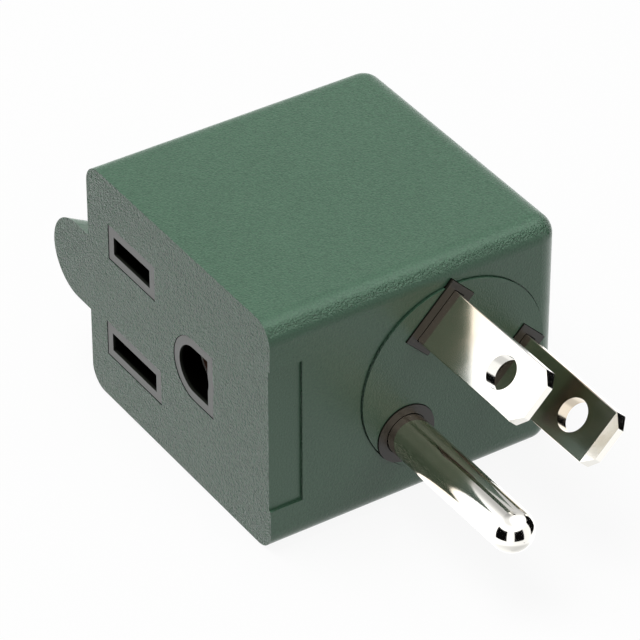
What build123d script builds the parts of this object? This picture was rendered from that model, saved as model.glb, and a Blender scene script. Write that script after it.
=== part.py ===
from build123d import *
from math import asin, atan2, cos, degrees, radians, sin, tan
import os

os.makedirs("parts", exist_ok=True)

# A right angle grounding adapter, in millimetres.
# Origin: centre of the bottom face. +Z up, the receptacle face looks along -Y,
# the plug face looks along +X, and the finger tab stands out along -X.

# Overmoulded body
body_width = 35.0
body_depth = 35.0
body_height = 28.1
edge_radius = 2.4
side_wall = 2.2
face_wall = 2.0

# Raised round pad on the plug face, with the fine witness groove round it
pad_radius = 11.05
pad_rise = 0.25
pad_from_back = 13.1
groove_width = 0.12
groove_depth = 0.3

# Shallow label recess on the plug face, open at the receptacle face
label_width = 3.8
label_height = 17.4
label_depth = 0.3

# Finger tab
tab_reach = 7.3
tab_height = 9.5
tab_depth = 7.0
tab_draft = 26.0
tab_rounding = 1.0

# Outlet pattern, shared by the receptacle and the plug
slot_pitch = 12.7
ground_offset = 11.89

# Receptacle face: the outlet's middle lies off the body's middle, towards the finger tab
outlet_offset = 2.855
slot_gap = 2.2
hot_slot_length = 7.05
neutral_slot_length = 8.7
ground_hole_radius = 2.8
ground_hole_flat = 2.65
collar_rim = 1.0
collar_recess = 0.05
collar_gap = 0.06

# Plug: placed by the point midway between its blades
plug_from_back = 10.5
plug_above_middle = 3.2
plug_turn = 45.0
blade_width = 6.3
blade_thickness = 1.52
blade_reach = 17.2
tip_length = 1.15
tip_width = 3.85
tip_thickness = 0.9
blade_edge_radius = 0.12
blade_hole_diameter = 3.7
blade_hole_reach = 11.7
pin_diameter = 4.7
pin_reach = 21.2
pin_neck_diameter = 4.0
collar_rise = 0.15
blade_collar_length = 7.8
blade_collar_width = 3.7
pin_collar_diameter = 6.8
metal_gap = 0.06
metal_gap_depth = 0.3

# Inner insulators
seat_behind_pin = 4.4
front_web = 0.5
cell_width = 8.4
cell_height = 5.2
ground_cell_radius = 3.8
terminal_room = 3.6
bridge_thickness = 3.0
skirt_wall = 0.9
cover_wall = 1.2
rib_thickness = 1.6
rib_play = 0.1
strap_play = 0.25
core_out_web = 1.6
core_out_width = 8.0
core_out_depth = 13.0

# Contacts, straps and rivets
strap_thickness = 0.7
strap_width = 3.6
strap_corner = 0.8
clip_width = 6.0
clip_height = 3.4
clip_grip = 1.2
clip_mouth = 3.2
clip_room = 2.4
clip_lip = 2.6
clip_bend = 0.5
hot_foot_length = 5.3
neutral_foot_length = 4.2
foot_corner = 1.3
rivet_diameter = 1.9
rivet_head_diameter = 3.0
rivet_head_height = 0.8
rivet_sink = 0.45
rivet_play = 0.05
barrel_thickness = 0.6
barrel_grip = 4.5
barrel_mouth = 5.4
barrel_rear = 5.1
barrel_room = 0.1
barrel_lip = 1.5
barrel_land = 1.0
barrel_rear_length = 4.2
barrel_slit = 1.0
ground_strap_width = 4.0
flange_diameter = 5.8
tail_diameter = 2.2
tail_head_diameter = 3.1
tail_head_height = 0.8

# Places that follow from the sizes
front_y = -body_depth / 2
plug_x = body_width / 2
back_y = body_depth / 2
slot_x = -outlet_offset - ground_offset / 2
outlet_z = body_height / 2
hot_slot_z = outlet_z + slot_pitch / 2
neutral_slot_z = outlet_z - slot_pitch / 2
ground_hole_x = slot_x + ground_offset
pad_y = back_y - pad_from_back
collar_x = plug_x + pad_rise + collar_rise

core_left = -body_width / 2 + side_wall
core_right = plug_x - face_wall
core_front = front_y + face_wall
core_back = back_y - side_wall
core_bottom = side_wall
core_top = body_height - side_wall
bridge_x = core_right - bridge_thickness
chamber_x = bridge_x - terminal_room
cell_front = core_front + front_web
strap_x = bridge_x - blade_thickness - strap_thickness / 2

# Directions in the plug face: along a blade's width, and from the hot blade to the neutral one
along = Vector(0, cos(radians(plug_turn)), sin(radians(plug_turn)))
apart = Vector(0, sin(radians(plug_turn)), -cos(radians(plug_turn)))
plug_middle = Vector(plug_x, back_y - plug_from_back, outlet_z + plug_above_middle)
hot_blade_centre = plug_middle - apart * (slot_pitch / 2)
neutral_blade_centre = plug_middle + apart * (slot_pitch / 2)
pin_centre = plug_middle - along * ground_offset
seat_y = pin_centre.Y + seat_behind_pin
strap_y = seat_y + strap_thickness / 2
hot_rivet_centre = hot_blade_centre + apart * (blade_thickness / 2 + hot_foot_length - rivet_head_diameter / 2)
neutral_rivet_centre = neutral_blade_centre - apart * (
    blade_thickness / 2 + neutral_foot_length - rivet_head_diameter / 2
)

receptacle_plane = Plane.XZ.offset(-front_y)
plug_plane = Plane.YZ.offset(plug_x)
low_corner = (Align.MIN, Align.MIN, Align.MIN)


def blade_plane(centre, at_x=plug_x):
    """The plane of the plug face at a blade, turned to the blade's width."""
    return Plane(origin=(at_x, centre.Y, centre.Z), x_dir=tuple(along), z_dir=(1, 0, 0))


def slot_outline(length, rim):
    """A straight slot's outline, grown by a rim on every side."""
    Rectangle(length + 2 * rim, slot_gap + 2 * rim)


def ground_outline(rim):
    """The D of the ground hole: round towards the slots, flat on the other side."""
    radius = ground_hole_radius + rim
    Circle(radius)
    with Locations(((ground_hole_flat + rim) / 2, 0)):
        Rectangle(ground_hole_flat + rim, 2 * radius)


def outlet_outlines(rim):
    """The two slots and the ground hole of the receptacle face, grown by a rim."""
    with Locations((slot_x, hot_slot_z)):
        slot_outline(hot_slot_length, rim)
    with Locations((slot_x, neutral_slot_z)):
        slot_outline(neutral_slot_length, rim)
    with Locations((ground_hole_x, outlet_z)):
        ground_outline(rim)


# Body: a block with every edge rounded except those of the receptacle face
with BuildPart() as body:
    Box(body_width, body_depth, body_height, align=(Align.CENTER, Align.CENTER, Align.MIN))
    front_edges = body.faces().sort_by(Axis.Y)[0].edges()
    fillet([edge for edge in body.edges() if edge not in front_edges], radius=edge_radius)

    tab_radius = tab_height / 2
    tab_root = side_wall + tab_depth * tan(radians(tab_draft))
    tab_straight = tab_reach - tab_radius + tab_root
    with BuildSketch(receptacle_plane):
        with Locations((-body_width / 2 - tab_reach + tab_radius, outlet_z)):
            Circle(tab_radius)
        with Locations((-body_width / 2 + tab_root - tab_straight / 2, outlet_z)):
            Rectangle(tab_straight, tab_height)
    extrude(amount=-tab_depth, taper=tab_draft)
    outside_tab = body.edges().filter_by_position(
        Axis.Y, front_y + tab_depth - 0.01, front_y + tab_depth + 0.01
    ).filter_by(lambda edge: edge.center().X < -body_width / 2)
    fillet(outside_tab, radius=tab_rounding)

    with BuildSketch(Plane.YZ.offset(core_right)):
        with Locations((pad_y, outlet_z)):
            Circle(pad_radius)
    extrude(amount=face_wall + pad_rise)
    with BuildSketch(plug_plane):
        with Locations((pad_y, outlet_z)):
            Circle(pad_radius + groove_width)
            Circle(pad_radius, mode=Mode.SUBTRACT)
    extrude(amount=-groove_depth, mode=Mode.SUBTRACT)

    with BuildSketch(plug_plane):
        with Locations((front_y + label_width / 2, outlet_z)):
            Rectangle(label_width, label_height)
    extrude(amount=-label_depth, mode=Mode.SUBTRACT)

    with Locations((core_left, core_front, core_bottom)):
        Box(
            core_right - core_left,
            core_back - core_front,
            core_top - core_bottom,
            align=low_corner,
            mode=Mode.SUBTRACT,
        )
    with BuildSketch(receptacle_plane):
        outlet_outlines(collar_rim + collar_gap)
    extrude(amount=-face_wall, mode=Mode.SUBTRACT)
    for centre in (hot_blade_centre, neutral_blade_centre):
        with BuildSketch(blade_plane(centre, core_right)):
            Rectangle(blade_collar_length + 2 * collar_gap, blade_collar_width + 2 * collar_gap)
        extrude(amount=face_wall + pad_rise, mode=Mode.SUBTRACT)
    with BuildSketch(blade_plane(pin_centre, core_right)):
        Circle(pin_collar_diameter / 2 + collar_gap)
    extrude(amount=face_wall + pad_rise, mode=Mode.SUBTRACT)

# Contact carrier: a block with a cell behind each opening, and a collar in each window
with BuildPart() as contact_carrier:
    with Locations((core_left, core_front, core_bottom)):
        Box(chamber_x - core_left, seat_y - core_front, core_top - core_bottom, align=low_corner)
    with BuildSketch(Plane.XZ.offset(-core_front)):
        outlet_outlines(collar_rim)
    extrude(amount=face_wall - collar_recess)

    with BuildSketch(Plane.XZ.offset(-cell_front)):
        with Locations((slot_x, hot_slot_z), (slot_x, neutral_slot_z)):
            Rectangle(cell_width, cell_height)
        with Locations((ground_hole_x, outlet_z)):
            Circle(ground_cell_radius)
    extrude(amount=-(seat_y - cell_front), mode=Mode.SUBTRACT)
    with BuildSketch(receptacle_plane):
        outlet_outlines(0)
    extrude(amount=-(cell_front - front_y), mode=Mode.SUBTRACT)

    # Way out for the ground strap, open at the rear
    ground_strap_z = outlet_z - (barrel_rear + barrel_thickness) / 2
    ground_strap_room = ground_strap_width + 2 * strap_play
    with Locations((ground_hole_x, seat_y, ground_strap_z)):
        Box(
            chamber_x - ground_hole_x,
            seat_y - pin_centre.Y + ground_strap_room / 2,
            strap_thickness + 2 * strap_play,
            align=(Align.MIN, Align.MAX, Align.CENTER),
            mode=Mode.SUBTRACT,
        )

    # Cored out from behind where no contact sits, so that the walls stay even
    core_out_floor = core_bottom + core_out_web
    core_out_top = ground_strap_z - strap_thickness / 2 - strap_play - core_out_web
    core_out_left = slot_x + cell_width / 2 + core_out_web
    with Locations((core_out_left, seat_y, core_out_floor)):
        Box(
            core_out_width,
            core_out_depth,
            core_out_top - core_out_floor,
            align=(Align.MIN, Align.MAX, Align.MIN),
            mode=Mode.SUBTRACT,
        )

# Rear cover: a shell that closes the cells, with ribs that hold the contacts in
with BuildPart() as rear_cover:
    with Locations((core_left, seat_y, core_bottom)):
        Box(chamber_x - core_left, core_back - seat_y, core_top - core_bottom, align=low_corner)
    with Locations((core_left + cover_wall, seat_y, core_bottom + cover_wall)):
        Box(
            chamber_x - core_left - 2 * cover_wall,
            core_back - seat_y - cover_wall,
            core_top - core_bottom - 2 * cover_wall,
            align=low_corner,
            mode=Mode.SUBTRACT,
        )
    with BuildSketch(Plane.YZ.offset(chamber_x)):
        with Locations((seat_y, hot_slot_z), (seat_y, neutral_slot_z)):
            Rectangle(2 * (strap_thickness + strap_play), strap_width + 2 * strap_play)
    extrude(amount=-cover_wall, mode=Mode.SUBTRACT)
    rib_length = core_back - cover_wall - seat_y - strap_thickness - rib_play
    with Locations(
        (slot_x, core_back - cover_wall, hot_slot_z),
        (slot_x, core_back - cover_wall, neutral_slot_z),
    ):
        Box(clip_width, rib_length, rib_thickness, align=(Align.CENTER, Align.MAX, Align.CENTER))
    ground_rib_x = ground_hole_x - barrel_mouth / 2
    ground_rib_length = core_back - cover_wall - seat_y - rib_play
    with Locations((ground_rib_x, core_back - cover_wall, outlet_z)):
        Box(rib_thickness, ground_rib_length, clip_height, align=(Align.MAX, Align.MAX, Align.CENTER))

# Plug bridge: a plate with a collar round each blade and the pin, and a skirt behind
with BuildPart() as plug_bridge:
    with Locations((chamber_x, core_front, core_bottom)):
        Box(core_right - chamber_x, core_back - core_front, core_top - core_bottom, align=low_corner)
    with Locations((chamber_x, core_front + skirt_wall, core_bottom + skirt_wall)):
        Box(
            terminal_room,
            core_back - core_front - 2 * skirt_wall,
            core_top - core_bottom - 2 * skirt_wall,
            align=low_corner,
            mode=Mode.SUBTRACT,
        )
    for centre in (hot_blade_centre, neutral_blade_centre):
        with BuildSketch(blade_plane(centre, core_right)):
            Rectangle(blade_collar_length, blade_collar_width)
        extrude(amount=collar_x - core_right)
        with BuildSketch(blade_plane(centre, bridge_x)):
            Rectangle(blade_width + 2 * metal_gap, blade_thickness + 2 * metal_gap)
        extrude(amount=collar_x - bridge_x, mode=Mode.SUBTRACT)
    with BuildSketch(blade_plane(pin_centre, core_right)):
        Circle(pin_collar_diameter / 2)
    extrude(amount=collar_x - core_right)
    with BuildSketch(blade_plane(pin_centre, bridge_x)):
        Circle(pin_neck_diameter / 2)
    extrude(amount=collar_x - bridge_x, mode=Mode.SUBTRACT)
    with BuildSketch(blade_plane(pin_centre, collar_x)):
        Circle(pin_diameter / 2 + metal_gap)
    extrude(amount=-metal_gap_depth, mode=Mode.SUBTRACT)


def make_blade(centre, side, foot, rivet_centre):
    """A bent blade: a foot behind the bridge, a flat shank, and a tip narrowed both ways.

    side is 1 where the foot turns towards the neutral blade and -1 where it turns back.
    """
    edge_on = Plane(origin=tuple(centre), x_dir=(1, 0, 0), z_dir=tuple(along))
    flat_on = Plane(origin=tuple(centre), x_dir=(1, 0, 0), z_dir=tuple(apart))
    half = blade_thickness / 2
    foot_front = bridge_x - plug_x
    foot_back = foot_front - blade_thickness
    tip_start = blade_reach - tip_length
    with BuildPart() as blade:
        with BuildSketch(edge_on):
            with BuildLine():
                Polyline(
                    (foot_back, -side * half),
                    (tip_start, -side * half),
                    (blade_reach, -side * tip_thickness / 2),
                    (blade_reach, side * tip_thickness / 2),
                    (tip_start, side * half),
                    (foot_front, side * half),
                    (foot_front, side * (half + foot)),
                    (foot_back, side * (half + foot)),
                    close=True,
                )
            make_face()
        extrude(amount=blade_width / 2, both=True)
        with BuildSketch(flat_on):
            with BuildLine():
                Polyline(
                    (foot_back, -blade_width / 2),
                    (tip_start, -blade_width / 2),
                    (blade_reach, -tip_width / 2),
                    (blade_reach, tip_width / 2),
                    (tip_start, blade_width / 2),
                    (foot_back, blade_width / 2),
                    close=True,
                )
            make_face()
        extrude(amount=half + foot, both=True, mode=Mode.INTERSECT)
        outer_corner = edge_on.from_local_coords(Vector(foot_back, -side * half, 0))
        across = blade.edges().filter_by(lambda edge: edge.length > blade_width - 0.01)
        fillet(across.sort_by_distance(outer_corner)[0], radius=foot_corner)
        long_edges = blade.edges().filter_by(Axis.X).filter_by(lambda edge: edge.center().X > plug_x)
        fillet(long_edges, radius=blade_edge_radius)
        with BuildSketch(flat_on):
            with Locations((blade_hole_reach, 0)):
                Circle(blade_hole_diameter / 2)
        extrude(amount=blade_thickness, both=True, mode=Mode.SUBTRACT)
        with BuildSketch(blade_plane(rivet_centre, bridge_x)):
            Circle(rivet_diameter / 2 + rivet_play)
        extrude(amount=-blade_thickness, mode=Mode.SUBTRACT)
        with BuildSketch(blade_plane(rivet_centre, bridge_x)):
            Circle(rivet_diameter / 2 + rivet_play + rivet_sink)
        extrude(amount=-rivet_sink, taper=45, mode=Mode.SUBTRACT)
    return blade


hot_blade = make_blade(hot_blade_centre, 1, hot_foot_length, hot_rivet_centre)
neutral_blade = make_blade(neutral_blade_centre, -1, neutral_foot_length, neutral_rivet_centre)


def dome(base_x, radius, height):
    """The domed side of a peened head, from its rim to its crown on the axis."""
    curve_radius = (radius**2 + height**2) / (2 * height)
    centre_x = base_x - height + curve_radius
    half_angle = degrees(asin(radius / curve_radius))
    CenterArc((centre_x, 0), curve_radius, 180 - half_angle, half_angle)


# Ground pin: turned, with a hemispherical tip, a neck that the bridge is moulded round,
# a flange behind the bridge and a peened tail
with BuildPart() as ground_pin:
    pin_radius = pin_diameter / 2
    neck_end = collar_x - plug_x
    flange_front = bridge_x - plug_x
    flange_back = flange_front - blade_thickness
    tail_end = flange_back - strap_thickness
    pin_side = Plane(origin=tuple(pin_centre), x_dir=(1, 0, 0), z_dir=(0, 0, 1))
    with BuildSketch(pin_side):
        with BuildLine():
            Polyline(
                (pin_reach - pin_radius, pin_radius),
                (neck_end, pin_radius),
                (neck_end, pin_neck_diameter / 2),
                (flange_front, pin_neck_diameter / 2),
                (flange_front, flange_diameter / 2),
                (flange_back, flange_diameter / 2),
                (flange_back, tail_diameter / 2),
                (tail_end, tail_diameter / 2),
                (tail_end, tail_head_diameter / 2),
            )
            dome(tail_end, tail_head_diameter / 2, tail_head_height)
            Line((tail_end - tail_head_height, 0), (pin_reach, 0))
            CenterArc((pin_reach - pin_radius, 0), pin_radius, 0, 90)
        make_face()
    revolve(axis=Axis(tuple(pin_centre), (1, 0, 0)))


def make_clip_contact(slot_z, rivet_centre):
    """A folded spring clip behind a slot, with its strap round the corner to the rivet."""
    half_grip = (clip_grip + strap_thickness) / 2
    half_mouth = (clip_mouth + strap_thickness) / 2
    half_base = (clip_height + strap_thickness) / 2
    mouth_y = cell_front + clip_room
    grip_y = mouth_y + clip_lip
    with BuildPart() as contact:
        with BuildSketch(Plane.YZ.offset(slot_x - clip_width / 2)):
            with BuildLine():
                FilletPolyline(
                    (mouth_y, slot_z + half_mouth),
                    (grip_y, slot_z + half_grip),
                    (strap_y, slot_z + half_base),
                    (strap_y, slot_z - half_base),
                    (grip_y, slot_z - half_grip),
                    (mouth_y, slot_z - half_mouth),
                    radius=clip_bend,
                )
            trace(line_width=strap_thickness)
        extrude(amount=clip_width)
        with BuildSketch(Plane.XY.offset(slot_z - strap_width / 2)):
            with BuildLine():
                FilletPolyline(
                    (core_left + cover_wall + rib_play, strap_y),
                    (strap_x, strap_y),
                    (strap_x, seat_y + strap_width / 2),
                    radius=strap_corner,
                )
            trace(line_width=strap_thickness)
        extrude(amount=strap_width)
        pad_start = Vector(seat_y + strap_width / 2, slot_z)
        run = Vector(rivet_centre.Y, rivet_centre.Z) - pad_start
        pad_middle = pad_start + run / 2
        with BuildSketch(Plane.YZ.offset(strap_x - strap_thickness / 2)):
            with Locations((pad_middle.X, pad_middle.Y)):
                SlotCenterToCenter(run.length, strap_width, rotation=degrees(atan2(run.Y, run.X)))
            with Locations((seat_y, slot_z)):
                Rectangle(strap_width / 2, strap_width, align=(Align.MIN, Align.CENTER))
        extrude(amount=strap_thickness)
        with BuildSketch(Plane.YZ.offset(strap_x - strap_thickness / 2)):
            with Locations((rivet_centre.Y, rivet_centre.Z)):
                Circle(rivet_diameter / 2 + rivet_play)
        extrude(amount=strap_thickness, mode=Mode.SUBTRACT)
    return contact


hot_contact = make_clip_contact(hot_slot_z, hot_rivet_centre)
neutral_contact = make_clip_contact(neutral_slot_z, neutral_rivet_centre)

# Ground contact: a slit barrel with a flared mouth, and its strap down to the pin's tail
with BuildPart() as ground_contact:
    barrel_start = cell_front + barrel_room
    barrel_length = seat_y - rib_play - barrel_start
    barrel_slit_length = barrel_length - barrel_rear_length
    barrel_axis = Axis((ground_hole_x, barrel_start, outlet_z), (0, 1, 0))
    barrel_plane = Plane(origin=(ground_hole_x, barrel_start, outlet_z), x_dir=(0, 1, 0), z_dir=(0, 0, 1))
    inner_line = (
        (0, -barrel_mouth / 2),
        (barrel_lip, -barrel_grip / 2),
        (barrel_lip + barrel_land, -barrel_grip / 2),
        (barrel_slit_length, -barrel_rear / 2),
        (barrel_length, -barrel_rear / 2),
    )
    with BuildSketch(barrel_plane):
        with BuildLine():
            Polyline(
                *inner_line,
                *[(y, r - barrel_thickness) for y, r in reversed(inner_line)],
                close=True,
            )
        make_face()
    revolve(axis=barrel_axis)
    with Locations((ground_hole_x, barrel_start, outlet_z)):
        Box(
            barrel_mouth + 4 * barrel_thickness,
            barrel_slit_length,
            barrel_slit,
            align=(Align.CENTER, Align.MIN, Align.CENTER),
            mode=Mode.SUBTRACT,
        )
    with BuildSketch(Plane.XZ.offset(-(pin_centre.Y + ground_strap_width / 2))):
        with BuildLine():
            FilletPolyline(
                (ground_hole_x, ground_strap_z),
                (strap_x, ground_strap_z),
                (strap_x, pin_centre.Z),
                radius=strap_corner,
            )
        trace(line_width=strap_thickness)
    extrude(amount=ground_strap_width)
    with BuildSketch(Plane.YZ.offset(strap_x - strap_thickness / 2)):
        with Locations((pin_centre.Y, pin_centre.Z)):
            Circle(ground_strap_width / 2)
    extrude(amount=strap_thickness)
    with BuildSketch(Plane.YZ.offset(strap_x - strap_thickness / 2)):
        with Locations((pin_centre.Y, pin_centre.Z)):
            Circle(tail_diameter / 2 + rivet_play)
    extrude(amount=strap_thickness, mode=Mode.SUBTRACT)


def make_rivet(centre):
    """A rivet through strap and foot: domed behind, sunk flush in the foot's front."""
    radius = rivet_diameter / 2
    strap_back = bridge_x - blade_thickness - strap_thickness
    with BuildPart() as rivet:
        with BuildSketch(Plane(origin=(0, centre.Y, centre.Z), x_dir=(1, 0, 0), z_dir=(0, 0, 1))):
            with BuildLine():
                Polyline(
                    (bridge_x, 0),
                    (bridge_x, radius + rivet_sink),
                    (bridge_x - rivet_sink, radius),
                    (strap_back, radius),
                    (strap_back, rivet_head_diameter / 2),
                )
                dome(strap_back, rivet_head_diameter / 2, rivet_head_height)
                Line((strap_back - rivet_head_height, 0), (bridge_x, 0))
            make_face()
        revolve(axis=Axis((0, centre.Y, centre.Z), (1, 0, 0)))
    return rivet


hot_rivet = make_rivet(hot_rivet_centre)
neutral_rivet = make_rivet(neutral_rivet_centre)

pieces = {
    "body": body,
    "contact_carrier": contact_carrier,
    "rear_cover": rear_cover,
    "plug_bridge": plug_bridge,
    "hot_blade": hot_blade,
    "neutral_blade": neutral_blade,
    "ground_pin": ground_pin,
    "hot_contact": hot_contact,
    "neutral_contact": neutral_contact,
    "ground_contact": ground_contact,
    "hot_rivet": hot_rivet,
    "neutral_rivet": neutral_rivet,
}
for piece_name, piece in pieces.items():
    piece.part.label = piece_name
    export_step(piece.part, f"parts/{piece_name}.step")
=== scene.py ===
import logging
import math
from dataclasses import dataclass, field
from enum import Enum
from typing import Any, Mapping, Union

import bpy
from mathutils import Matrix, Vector

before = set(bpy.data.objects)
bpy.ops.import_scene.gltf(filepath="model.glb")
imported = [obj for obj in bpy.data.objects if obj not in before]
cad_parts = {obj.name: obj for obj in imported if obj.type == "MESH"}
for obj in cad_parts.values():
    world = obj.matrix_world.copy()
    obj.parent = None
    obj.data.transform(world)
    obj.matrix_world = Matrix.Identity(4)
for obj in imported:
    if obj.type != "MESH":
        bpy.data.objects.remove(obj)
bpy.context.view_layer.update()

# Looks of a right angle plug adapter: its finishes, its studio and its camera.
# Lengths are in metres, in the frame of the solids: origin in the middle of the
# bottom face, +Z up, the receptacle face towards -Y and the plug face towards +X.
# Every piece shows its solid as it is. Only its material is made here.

log = logging.getLogger("adapter")

MM = 0.001
WHITE = (1.0, 1.0, 1.0)
NOISE_MEAN = 0.5
DULL_ROUGHNESS = 0.9

# Sockets of a Mix node for colours, by number, because several share a name.
MIX_FACTOR, MIX_FIRST, MIX_SECOND, MIX_RESULT = 0, 6, 7, 2

Colour = tuple[float, float, float]
Span = tuple[float, float]
Operand = Union[float, "Signal"]


class Ray(Enum):
    """What a Light Path node tells about the ray that arrives."""

    CAMERA = "Is Camera Ray"
    THROUGH = "Is Transmission Ray"
    GLOSSY = "Is Glossy Ray"
    DIFFUSE_BOUNCES = "Diffuse Depth"


def linear(red: int, green: int, blue: int) -> Colour:
    """Turn an 8-bit display colour into the linear colour that a shader takes.

    Args:
        red: Red, 0 to 255.
        green: Green, 0 to 255.
        blue: Blue, 0 to 255.

    Returns:
        The three linear values.
    """

    def channel(value: int) -> float:
        """Linear value of one channel."""
        share = value / 255
        return share / 12.92 if share <= 0.04045 else ((share + 0.055) / 1.055) ** 2.4

    return channel(red), channel(green), channel(blue)


ROOT_TINT = linear(218, 206, 187)
ROOT_TINT_DEEPER = linear(212, 200, 181)


@dataclass(frozen=True)
class Signal:
    """One output of a node, with arithmetic that adds Math nodes."""

    sheet: "NodeSheet"
    socket: bpy.types.NodeSocket | None

    def _math(self, operation: str, *values: Operand, clamp: bool = False) -> "Signal":
        """Add a Math node of one operation on these values."""
        settings = {"operation": operation, "use_clamp": clamp}
        return self.sheet.node("ShaderNodeMath", settings, dict(enumerate(values)))

    def __add__(self, other: Operand) -> "Signal":
        """self + other."""
        return self._math("ADD", self, other)

    def __radd__(self, other: Operand) -> "Signal":
        """other + self."""
        return self._math("ADD", other, self)

    def __sub__(self, other: Operand) -> "Signal":
        """self - other."""
        return self._math("SUBTRACT", self, other)

    def __rsub__(self, other: Operand) -> "Signal":
        """other - self."""
        return self._math("SUBTRACT", other, self)

    def __mul__(self, other: Operand) -> "Signal":
        """self * other."""
        return self._math("MULTIPLY", self, other)

    def __rmul__(self, other: Operand) -> "Signal":
        """other * self."""
        return self._math("MULTIPLY", other, self)

    def __truediv__(self, other: Operand) -> "Signal":
        """self / other."""
        return self._math("DIVIDE", self, other)

    def __rtruediv__(self, other: Operand) -> "Signal":
        """other / self."""
        return self._math("DIVIDE", other, self)

    def __pow__(self, other: Operand) -> "Signal":
        """self ** other."""
        return self._math("POWER", self, other)

    def __lt__(self, other: Operand) -> "Signal":
        """1 where self is below other, else 0."""
        return self._math("LESS_THAN", self, other)

    def __gt__(self, other: Operand) -> "Signal":
        """1 where self is above other, else 0. This is also how other < self is read."""
        return self._math("GREATER_THAN", self, other)

    def __abs__(self) -> "Signal":
        """The value without its sign."""
        return self._math("ABSOLUTE", self)

    def clamped(self) -> "Signal":
        """The value held between 0 and 1."""
        return self._math("ADD", self, 0.0, clamp=True)

    def step(self, low: float, high: float) -> "Signal":
        """Rise smoothly from 0 at low to 1 at high.

        Args:
            low: Value where the result is 0.
            high: Value where the result is 1.

        Returns:
            The smooth step.
        """
        settings = {"interpolation_type": "SMOOTHSTEP"}
        values = {"Value": self, "From Min": low, "From Max": high}
        return self.sheet.node("ShaderNodeMapRange", settings, values)


Point = tuple[Signal, Signal, Signal]


@dataclass(frozen=True)
class Lumps:
    """A smooth noise: the size of its lumps, its finer layers and what shifts its pattern."""

    size: float
    detail: float = 2.0
    roughness: float = 0.5
    seed: float = 0.0


@dataclass
class NodeSheet:
    """The node tree of a material or of the sky, with one way to add any node."""

    owner: Union[bpy.types.Material, bpy.types.World]
    tree: bpy.types.NodeTree = field(init=False)

    def __post_init__(self) -> None:
        """Empty the tree."""
        self.owner.use_nodes = True
        self.tree = self.owner.node_tree
        self.tree.nodes.clear()

    def node(
        self,
        kind: str,
        settings: Mapping[str, Any] | None = None,
        values: Mapping[Any, Any] | None = None,
        output: Any = 0,
    ) -> Signal:
        """Add a node, set it, and feed its sockets.

        Args:
            kind: The node's type name.
            settings: Properties, set first.
            values: Numbers, colours or signals by socket name or number.
            output: Name or number of the output to return.

        Returns:
            The chosen output, or an empty signal from a node that has none.
        """
        made = self.tree.nodes.new(kind)
        for name, value in (settings or {}).items():
            setattr(made, name, value)
        for name, value in (values or {}).items():
            if isinstance(value, Signal):
                self.tree.links.new(value.socket, made.inputs[name])
            elif isinstance(value, tuple):
                made.inputs[name].default_value = (*value, 1.0)
            else:
                made.inputs[name].default_value = value
        return Signal(self, made.outputs[output] if len(made.outputs) else None)

    def split(self, vector: Signal) -> Point:
        """Take a vector apart into its three numbers."""
        made = self.node("ShaderNodeSeparateXYZ", None, {0: vector}).socket.node
        return tuple(Signal(self, socket) for socket in made.outputs)

    def ray(self, kind: Ray) -> Signal:
        """One output of a Light Path node, such as 1 for a camera ray and 0 for others."""
        return self.node("ShaderNodeLightPath", output=kind.value)

    def direct(self) -> Signal:
        """1 for what the camera sees directly or through something clear, else 0."""
        return (self.ray(Ray.CAMERA) + self.ray(Ray.THROUGH)).clamped()

    def place(self) -> Signal:
        """Point on the piece, in metres."""
        return self.node("ShaderNodeTexCoord", output="Object")

    def facing(self) -> Signal:
        """Direction that the surface faces."""
        return self.node("ShaderNodeTexCoord", output="Normal")

    def noise(self, lumps: Lumps) -> Signal:
        """Add smooth noise that lies fast on the piece.

        Args:
            lumps: Its size, layers and seed.

        Returns:
            The noise, 0 to 1.
        """
        values = {
            "Vector": self.place(),
            "W": lumps.seed,
            "Scale": 1 / lumps.size,
            "Detail": lumps.detail,
            "Roughness": lumps.roughness,
        }
        return self.node("ShaderNodeTexNoise", {"noise_dimensions": "4D"}, values)

    def mix(self, factor: Signal, first: Any, second: Any) -> Signal:
        """Blend two colours, each a colour or a signal: the first at 0, the second at 1."""
        values = {MIX_FACTOR: factor, MIX_FIRST: first, MIX_SECOND: second}
        return self.node("ShaderNodeMix", {"data_type": "RGBA"}, values, MIX_RESULT)

    def blend(self, factor: Signal, first: Signal, second: Signal) -> Signal:
        """Blend two shaders: the first at 0, the second at 1."""
        return self.node("ShaderNodeMixShader", None, {0: factor, 1: first, 2: second})

    def bump(self, height: Signal, depth: float) -> Signal:
        """Turn a height from 0 to 1 into a normal, where 1 is depth metres high."""
        values = {"Height": height, "Distance": depth, "Strength": 1.0}
        return self.node("ShaderNodeBump", None, values)

    def finish(self, **values: Any) -> Signal:
        """Add a Principled shader, with its sockets by name and underscores for spaces."""
        named = {name.replace("_", " "): value for name, value in values.items()}
        return self.node("ShaderNodeBsdfPrincipled", None, named)

    def paint_shade(self, behind: Signal, shown: Signal, shade_colour: Colour) -> Signal:
        """Paint shade, dull and nearly black, where a surface lies deep in a hole or a gap.

        Args:
            behind: 0 where the surface shows, 1 where it lies deep.
            shown: The shader where it shows.
            shade_colour: The colour of the painted shade where it lies deep.

        Returns:
            The shader of both.
        """
        deep = self.finish(Base_Color=shade_colour, Roughness=DULL_ROUGHNESS, Specular_IOR_Level=0.0)
        return self.blend(behind, shown, deep)

    def close(self, shader: Signal) -> bpy.types.Material:
        """Close a material's tree with this shader and return the material."""
        self.node("ShaderNodeOutputMaterial", None, {"Surface": shader})
        return self.owner


def new_material(name: str) -> NodeSheet:
    """Start an empty material of that name."""
    return NodeSheet(bpy.data.materials.new(name))


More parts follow.
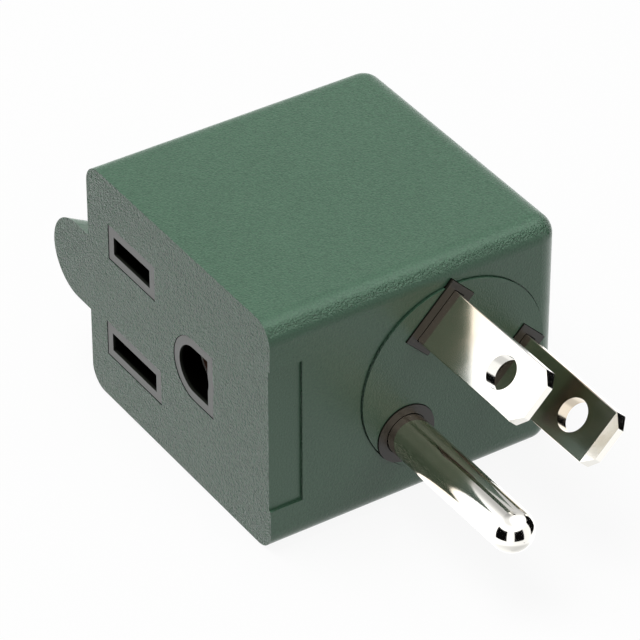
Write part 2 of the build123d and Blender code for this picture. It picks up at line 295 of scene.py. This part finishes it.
@dataclass(frozen=True)
class Window:
    """A window in the receptacle face, as a box a little larger than the hole, for painted
    shade.
    """

    middle_x: float
    middle_z: float
    half_width: float
    half_height: float
    rear: float = -14.5 * MM

    def mask(self, along: Point) -> Signal:
        """1 inside the box, 0 outside it.

        Args:
            along: The point on the piece.

        Returns:
            The mask.
        """
        x, y, z = along
        across = abs(x - self.middle_x) < self.half_width
        upright = abs(z - self.middle_z) < self.half_height
        return across * upright * (y < self.rear)


@dataclass(frozen=True)
class GrainedPlastic:
    """Coloured moulded plastic with a fine spark-eroded grain.

    The grain is deeper on the receptacle's side and on the rounded edges along the
    top, and shallower on the two flanks along X. The walls of the narrow gaps round
    the collars get painted shade behind the receptacle face, a dull, nearly black
    colour for the shade in the gaps.
    """

    name: str
    colour: Colour
    pale: Colour
    face: float
    shaded_windows: tuple[Window, ...]
    grain: Lumps = Lumps(0.2 * MM, detail=1.0)
    fleck: Lumps = Lumps(0.2 * MM, detail=1.0, seed=4.0)
    cloud: Lumps = Lumps(8 * MM, seed=9.0)
    grain_depth: float = 0.09 * MM
    receptacle_grain: float = 8.5
    flank_grain: float = 0.45
    rounding_grain: float = 3.2
    mean_tone: float = 0.4
    cloud_tone: float = 0.25
    fleck_tone: float = 1.7
    receptacle_glint: float = 1.3
    flank_glint_cut: float = 0.9
    roughness: float = 0.32
    roughness_swing: float = 0.16
    gloss: float = 0.42
    side_turn: Span = (0.6, 0.95)
    rounding_low: Span = (0.35, 0.6)
    rounding_high: Span = (0.66, 0.86)
    gap_start: Span = (0.004 * MM, 0.012 * MM)
    shade_colour: Colour = linear(16, 20, 17)

    def make(self) -> bpy.types.Material:
        """Build the material.

        Returns:
            The finished material.
        """
        sheet = new_material(self.name)
        grain = sheet.noise(self.grain) - NOISE_MEAN
        fleck = sheet.noise(self.fleck) - NOISE_MEAN
        cloud = sheet.noise(self.cloud) - NOISE_MEAN
        facing_x, facing_y, facing_z = sheet.split(sheet.facing())
        receptacle = (0 - facing_y).step(*self.side_turn)
        flank = abs(facing_x).step(*self.side_turn)
        rounding = facing_z.step(*self.rounding_low) * (1 - facing_z.step(*self.rounding_high))
        relief = 1 + receptacle * (self.receptacle_grain - 1) - flank * (1 - self.flank_grain)
        relief = relief + rounding * (self.rounding_grain - 1)
        # The flecks are partly painted glint: stronger on the receptacle's side and weaker on
        # the flanks, standing in for the sparkle of the sheen there.
        fleck_and_glint = self.fleck_tone + receptacle * self.receptacle_glint - flank * self.flank_glint_cut
        tone = self.mean_tone + cloud * self.cloud_tone + fleck * fleck_and_glint
        shown = sheet.finish(
            Base_Color=sheet.mix(tone.clamped(), self.colour, self.pale),
            Roughness=self.roughness + fleck * self.roughness_swing,
            Specular_IOR_Level=self.gloss,
            Normal=sheet.bump(NOISE_MEAN + grain * relief, self.grain_depth),
        )
        along = sheet.split(sheet.place())
        # Painted shade: behind the receptacle face, inside the window boxes, the gap walls turn
        # dull and nearly black.
        gap = (along[1] - self.face).step(*self.gap_start)
        inside: Operand = 0.0
        for window in self.shaded_windows:
            inside = window.mask(along) + inside
        return sheet.close(sheet.paint_shade((gap * inside).clamped(), shown, self.shade_colour))


@dataclass(frozen=True)
class SatinInsulator:
    """Smooth satin plastic of the inner insulators, with painted shade behind their collars."""

    name: str
    colour: Colour
    pale: Colour
    outwards: tuple[float, float, float]
    collar_face: float
    grain: Lumps = Lumps(0.2 * MM)
    cloud: Lumps = Lumps(2.5 * MM, seed=3.0)
    cloud_tone: float = 0.8
    grain_tone: float = 0.6
    grain_base: float = 0.3
    grain_depth: float = 0.006 * MM
    roughness: float = 0.38
    roughness_swing: float = 0.15
    gloss: float = 0.45
    shade_depths: Span = (0.05 * MM, 0.5 * MM)
    shade_colour: Colour = (0.0012, 0.0011, 0.0009)

    def make(self) -> bpy.types.Material:
        """Build the material.

        Returns:
            The finished material.
        """
        sheet = new_material(self.name)
        grain = sheet.noise(self.grain)
        cloud = sheet.noise(self.cloud) - NOISE_MEAN
        tone = cloud * self.cloud_tone + (grain - self.grain_base) * self.grain_tone
        x, y, z = sheet.split(sheet.place())
        out_x, out_y, out_z = self.outwards
        depth = self.collar_face - (x * out_x + y * out_y + z * out_z)
        collar = sheet.finish(
            Base_Color=sheet.mix(tone.clamped(), self.colour, self.pale),
            Roughness=self.roughness + (grain - NOISE_MEAN) * self.roughness_swing,
            Specular_IOR_Level=self.gloss,
            Normal=sheet.bump(grain, self.grain_depth),
        )
        # Painted shade: from just behind the collar face inwards, the surface turns dull and
        # nearly black.
        return sheet.close(sheet.paint_shade(depth.step(*self.shade_depths), collar, self.shade_colour))


@dataclass(frozen=True)
class BrightPlate:
    """Bright plate on a stamped or turned piece, a little warmer in colour at its root.

    It turns neutral towards its tip, from one place along X to another.
    """

    name: str
    pale_end_along: Span = (28.0 * MM, 32.0 * MM)
    roughness: float = 0.13
    haze: float = 0.03
    root_tint: Colour = ROOT_TINT
    root_tint_deeper: Colour = ROOT_TINT_DEEPER
    pale_end: Colour = linear(226, 224, 218)
    stain: Lumps = Lumps(2.2 * MM)
    wave: Lumps = Lumps(3.0 * MM, detail=1.0, seed=5.0)
    wave_depth: float = 0.004 * MM
    stained: Span = (0.35, 0.75)
    hazed: Span = (0.4, 0.7)

    def make(self) -> bpy.types.Material:
        """Build the material.

        Returns:
            The finished material.
        """
        sheet = new_material(self.name)
        stain = sheet.noise(self.stain)
        wave = sheet.noise(self.wave)
        root = sheet.mix(stain.step(*self.stained), self.root_tint, self.root_tint_deeper)
        along = sheet.split(sheet.place())
        return sheet.close(sheet.finish(
            Base_Color=sheet.mix(along[0].step(*self.pale_end_along), root, self.pale_end),
            Metallic=1.0,
            Roughness=self.roughness + stain.step(*self.hazed) * self.haze,
            Normal=sheet.bump(wave, self.wave_depth),
        ))


@dataclass(frozen=True)
class StampedBrass:
    """Tarnished sheet of the contacts, with a painted highlight round the rim where one has a
    mouth.
    """

    name: str
    colour: Colour
    tarnish: Colour
    highlight_front: float | None = None
    highlight_width: Span = (0.01 * MM, 0.04 * MM)
    highlight_colour: Colour = linear(252, 249, 243)
    roughness: float = 0.28
    haze: float = 0.15
    stain: Lumps = Lumps(1.8 * MM, detail=5.0, roughness=0.62)
    fine: Lumps = Lumps(0.15 * MM, seed=2.0)
    fine_depth: float = 0.002 * MM
    stained: Span = (0.42, 0.72)

    def make(self) -> bpy.types.Material:
        """Build the material.

        Returns:
            The finished material.
        """
        sheet = new_material(self.name)
        stain = sheet.noise(self.stain)
        colour = sheet.mix(stain.step(*self.stained), self.colour, self.tarnish)
        metal: Operand = 1.0
        # Painted highlight: from the mouth's rim forwards the sheet is near-white and not metal.
        if self.highlight_front is not None:
            _, y, _ = sheet.split(sheet.place())
            pale_end = 1 - (y - self.highlight_front).step(*self.highlight_width)
            colour = sheet.mix(pale_end, colour, self.highlight_colour)
            metal = 1 - pale_end
        return sheet.close(sheet.finish(
            Base_Color=colour,
            Metallic=metal,
            Roughness=self.roughness + stain * self.haze,
            Normal=sheet.bump(sheet.noise(self.fine), self.fine_depth),
        ))


def dress(node: str, material: bpy.types.Material) -> None:
    """Give a solid of the frame its material.

    Args:
        node: Name of the solid.
        material: The finish it gets.
    """
    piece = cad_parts[node]
    piece.data.materials.clear()
    piece.data.materials.append(material)
    log.info("%s dressed in %s", node, material.name)


@dataclass
class Housing:
    """The moulded body and the insulators inside it."""

    body: GrainedPlastic = GrainedPlastic(
        "moulded_green",
        colour=linear(61, 95, 74),
        pale=linear(89, 127, 102),
        face=-17.5 * MM,
        shaded_windows=(
            Window(-8.8 * MM, 20.4 * MM, half_width=4.65 * MM, half_height=2.22 * MM),
            Window(-8.8 * MM, 7.7 * MM, half_width=5.48 * MM, half_height=2.22 * MM),
            Window(3.015 * MM, 14.05 * MM, half_width=3.85 * MM, half_height=3.92 * MM),
        ),
    )
    # The carrier's colour is greyer and greener than the bridge's brown, set to look like the
    # receptacle's side under its sheen: partly painted sheen.
    carrier: SatinInsulator = SatinInsulator(
        "moulded_brown",
        colour=linear(35, 38, 33),
        pale=linear(43, 46, 41),
        outwards=(0.0, -1.0, 0.0),
        collar_face=17.45 * MM,
    )
    bridge: SatinInsulator = SatinInsulator(
        "moulded_brown_plug",
        colour=linear(28, 25, 19),
        pale=linear(36, 32, 26),
        outwards=(1.0, 0.0, 0.0),
        collar_face=17.9 * MM,
        gloss=0.40,
    )

    def build(self) -> None:
        """Dress the housing's solids."""
        dress("body", self.body.make())
        inner = self.carrier.make()
        dress("contact_carrier", inner)
        dress("rear_cover", inner)
        dress("plug_bridge", self.bridge.make())


@dataclass
class Plug:
    """The blades and the pin."""

    hot: BrightPlate = BrightPlate("plated_blade", pale_end_along=(22.5 * MM, 26.5 * MM))
    neutral: BrightPlate = BrightPlate("plated_blade_far")
    pin: BrightPlate = BrightPlate("plated_pin", roughness=0.07)

    def build(self) -> None:
        """Dress the plug's solids."""
        dress("hot_blade", self.hot.make())
        dress("neutral_blade", self.neutral.make())
        dress("ground_pin", self.pin.make())


@dataclass
class Contacts:
    """The springs, their straps and their rivets."""

    brass: StampedBrass = StampedBrass(
        "stamped_brass", colour=linear(120, 100, 76), tarnish=linear(70, 56, 42)
    )
    barrel: StampedBrass = StampedBrass(
        "stamped_brass_barrel",
        colour=linear(84, 60, 46),
        tarnish=linear(54, 34, 26),
        highlight_front=-14.9 * MM,
    )

    def build(self) -> None:
        """Dress the contacts' solids."""
        metal = self.brass.make()
        for node in ("hot_contact", "neutral_contact", "hot_rivet", "neutral_rivet"):
            dress(node, metal)
        dress("ground_contact", self.barrel.make())


def direction(azimuth: float, elevation: float) -> Vector:
    """Unit vector from the adapter towards a place round it.

    Args:
        azimuth: Degrees round it, 0 in front of the receptacle face, 90 in front of the
            plug face.
        elevation: Degrees above the floor.

    Returns:
        The direction.
    """
    turn, rise = math.radians(azimuth), math.radians(elevation)
    level = math.cos(rise)
    return Vector((math.sin(turn) * level, -math.cos(turn) * level, math.sin(rise)))


def aimed(
    name: str,
    data: Union[bpy.types.Light, bpy.types.Camera],
    target: Vector,
    back: Vector,
    distance: float,
) -> bpy.types.Object:
    """Add a lamp or a camera that looks at a point.

    Args:
        name: Name of the object.
        data: The lamp or the camera.
        target: The point looked at.
        back: Unit vector from that point towards the object.
        distance: Distance between them.

    Returns:
        The object.
    """
    holder = bpy.data.objects.new(name, data)
    bpy.context.scene.collection.objects.link(holder)
    holder.location = target + back * distance
    holder.rotation_euler = (-back).to_track_quat("-Z", "Y").to_euler()
    return holder


def level_length(x: Signal, y: Signal) -> Signal:
    """Length of the level part of a vector."""
    return (x * x + y * y) ** 0.5


def risen(z: Signal, low: float, high: float) -> Signal:
    """Rise from 0 to 1 between two elevations in degrees, for the z of a direction."""
    return z.step(math.sin(math.radians(low)), math.sin(math.radians(high)))


def within(cosine: Signal, inner: float, outer: float) -> Signal:
    """Fall from 1 to 0 between two angles in degrees, for the cosine of an angle."""
    return cosine.step(math.cos(math.radians(outer)), math.cos(math.radians(inner)))


@dataclass(frozen=True)
class Softbox:
    """A square area lamp, placed by direction and aimed at the adapter."""

    name: str
    azimuth: float
    elevation: float
    distance: float
    width: float
    strength: float

    def build(self, target: Vector) -> None:
        """Add the lamp. Gloss shows the sky alone, so that no lamp burns a patch into the metal.

        Args:
            target: The point it is aimed at.
        """
        lamp = bpy.data.lights.new(self.name, "AREA")
        lamp.shape = "SQUARE"
        lamp.size = self.width
        lamp.energy = self.strength
        back = direction(self.azimuth, self.elevation)
        aimed(self.name, lamp, target, back, self.distance).visible_glossy = False


@dataclass(frozen=True)
class Flag:
    """A black board beside the adapter, which only gloss shows. All its sizes are in degrees."""

    azimuth: float
    half_width: float
    low: float = -25.0
    high: float = 25.0
    softness: float = 1.5

    def mask(self, along: Point) -> Signal:
        """1 inside the board, 0 outside it.

        Args:
            along: The direction looked in.

        Returns:
            The mask.
        """
        x, y, z = along
        turn = math.radians(self.azimuth)
        facing = (x * math.sin(turn) - y * math.cos(turn)) / level_length(x, y)
        beside = within(facing, self.half_width - self.softness, self.half_width + self.softness)
        lower = risen(z, self.low - self.softness, self.low + self.softness)
        upper = risen(z, self.high - self.softness, self.high + self.softness)
        return beside * lower * (1 - upper)


@dataclass(frozen=True)
class Patch:
    """A round patch of the sky with a soft edge, in degrees."""

    azimuth: float
    elevation: float
    inner: float
    outer: float

    def mask(self, along: Point) -> Signal:
        """1 inside the patch, 0 outside it.

        Args:
            along: The direction looked in.

        Returns:
            The mask.
        """
        x, y, z = along
        middle = direction(self.azimuth, self.elevation)
        return within(x * middle.x + y * middle.y + z * middle.z, self.inner, self.outer)


@dataclass(frozen=True)
class Sky:
    """The white surroundings, with angles in degrees.

    Only gloss that comes before any diffuse bounce sees the levels of brightness, the
    patches and the boards. All else gets an even, dim fill, and the camera sees plain
    white. The least level keeps a division from zero.
    """

    fill: float = 0.2
    plain: float = 1.63
    bright_side: float = -70.0
    swing: float = 0.33
    low_share: float = 0.66
    low_edge: Span = (-58.0, -44.0)
    above: float = 2.0
    above_edge: Span = (20.0, 32.0)
    high: float = 1.17
    high_edge: Span = (42.0, 62.0)
    crown: Patch = Patch(azimuth=146, elevation=62, inner=4, outer=44)
    crown_level: float = 3.3
    shade: Patch = Patch(azimuth=-123, elevation=36, inner=25, outer=60)
    shade_level: float = 0.4
    black: float = 0.004
    least_level: float = 0.001
    one_bounce: float = 0.5
    flags: tuple[Flag, ...] = (
        Flag(azimuth=5, half_width=28),
        Flag(azimuth=91, half_width=23),
        Flag(azimuth=175, half_width=20),
        Flag(azimuth=-85, half_width=20),
    )

    def build(self) -> None:
        """Make the world."""
        world = bpy.data.worlds.new("studio_sky")
        bpy.context.scene.world = world
        world.cycles.sampling_method = "NONE"
        sheet = NodeSheet(world)
        gloss = self._gloss(sheet.split(sheet.node("ShaderNodeTexCoord", output="Generated")))
        direct = sheet.direct()
        glossy = sheet.ray(Ray.GLOSSY) * (sheet.ray(Ray.DIFFUSE_BOUNCES) < self.one_bounce)
        level = direct + glossy * gloss + (1 - direct - glossy).clamped() * self.fill
        sky = sheet.node("ShaderNodeBackground", None, {"Color": WHITE, "Strength": level})
        sheet.node("ShaderNodeOutputWorld", None, {"Surface": sky})

    def _gloss(self, along: Point) -> Signal:
        """What shiny pieces reflect.

        Args:
            along: The direction looked in.

        Returns:
            The brightness.
        """
        x, y, z = along
        side = direction(self.bright_side, 0.0)
        towards = (x * side.x + y * side.y) / (level_length(x, y) + self.least_level)
        seen = self.plain + towards * self.swing
        seen = seen * (1 - (1 - risen(z, *self.low_edge)) * (1 - self.low_share))
        seen = seen + risen(z, *self.above_edge) * (self.above - seen)
        seen = seen + risen(z, *self.high_edge) * (self.high - seen)
        seen = seen + self.crown.mask(along) * (self.crown_level - seen)
        seen = seen * (1 - self.shade.mask(along) * (1 - self.shade_level))
        for flag in self.flags:
            seen = seen * (1 - flag.mask(along))
        return seen + self.black


@dataclass
class Studio:
    """Floor, sky, lamps and camera. Angles are in degrees, and the lens is in millimetres."""

    target: Vector = field(default_factory=lambda: Vector((0.0, -0.207 * MM, 11.663 * MM)))
    azimuth: float = 56.895
    elevation: float = 36.080
    distance: float = 455.324 * MM
    focal_length: float = 246.953
    sensor: float = 36.0
    clip_start: float = 0.01
    clip_end: float = 20.0
    floor_size: float = 3.0
    floor_bounce: float = 0.29
    shadow_share: float = 0.08
    shadow_ends: Span = (0.15, 0.5)
    sky: Sky = Sky()
    lamps: tuple[Softbox, ...] = (
        Softbox("top_lamp", azimuth=-40, elevation=74, distance=0.7, width=0.5, strength=3.72),
        Softbox("plug_lamp", azimuth=110, elevation=25, distance=0.8, width=0.4, strength=0.62),
    )

    def build(self) -> None:
        """Make the whole studio."""
        self._floor()
        self.sky.build()
        for lamp in self.lamps:
            lamp.build(self.target)
        self._camera()

    def _floor(self) -> None:
        """A plain pale floor: white to the camera, with the adapter's soft shadow.

        Other rays get a dimmer bounce from it, and gloss sees the sky through it.
        """
        bpy.ops.object.select_all(action="DESELECT")
        bpy.ops.mesh.primitive_plane_add(size=self.floor_size, location=(0, 0, 0))
        floor = bpy.context.object
        floor.name = "studio_floor"
        sheet = new_material("pale_floor")
        x, y, _ = sheet.split(sheet.place())
        share = (1 - level_length(x, y).step(*self.shadow_ends)) * self.shadow_share
        glow = sheet.node("ShaderNodeEmission", None, {"Color": WHITE, "Strength": 1.0})
        matte = sheet.node("ShaderNodeBsdfDiffuse", None, {"Color": WHITE})
        bounce = sheet.node("ShaderNodeBsdfDiffuse", None, {"Color": (self.floor_bounce,) * 3})
        seen = sheet.blend(sheet.direct(), bounce, sheet.blend(share, glow, matte))
        clear = sheet.node("ShaderNodeBsdfTransparent")
        shader = sheet.blend(sheet.ray(Ray.GLOSSY), seen, clear)
        floor.data.materials.append(sheet.close(shader))

    def _camera(self) -> None:
        """The camera at the photograph's angle, for a square picture."""
        lens = bpy.data.cameras.new("camera")
        lens.sensor_width = self.sensor
        lens.lens = self.focal_length
        lens.clip_start = self.clip_start
        lens.clip_end = self.clip_end
        back = direction(self.azimuth, self.elevation)
        bpy.context.scene.camera = aimed("camera", lens, self.target, back, self.distance)


def main() -> None:
    """Dress the adapter and set up its studio."""
    logging.basicConfig(level=logging.INFO, format="%(name)s: %(message)s")
    Housing().build()
    Plug().build()
    Contacts().build()
    Studio().build()
    bpy.context.scene.view_settings.view_transform = "Standard"


if __name__ == "__main__":
    main()
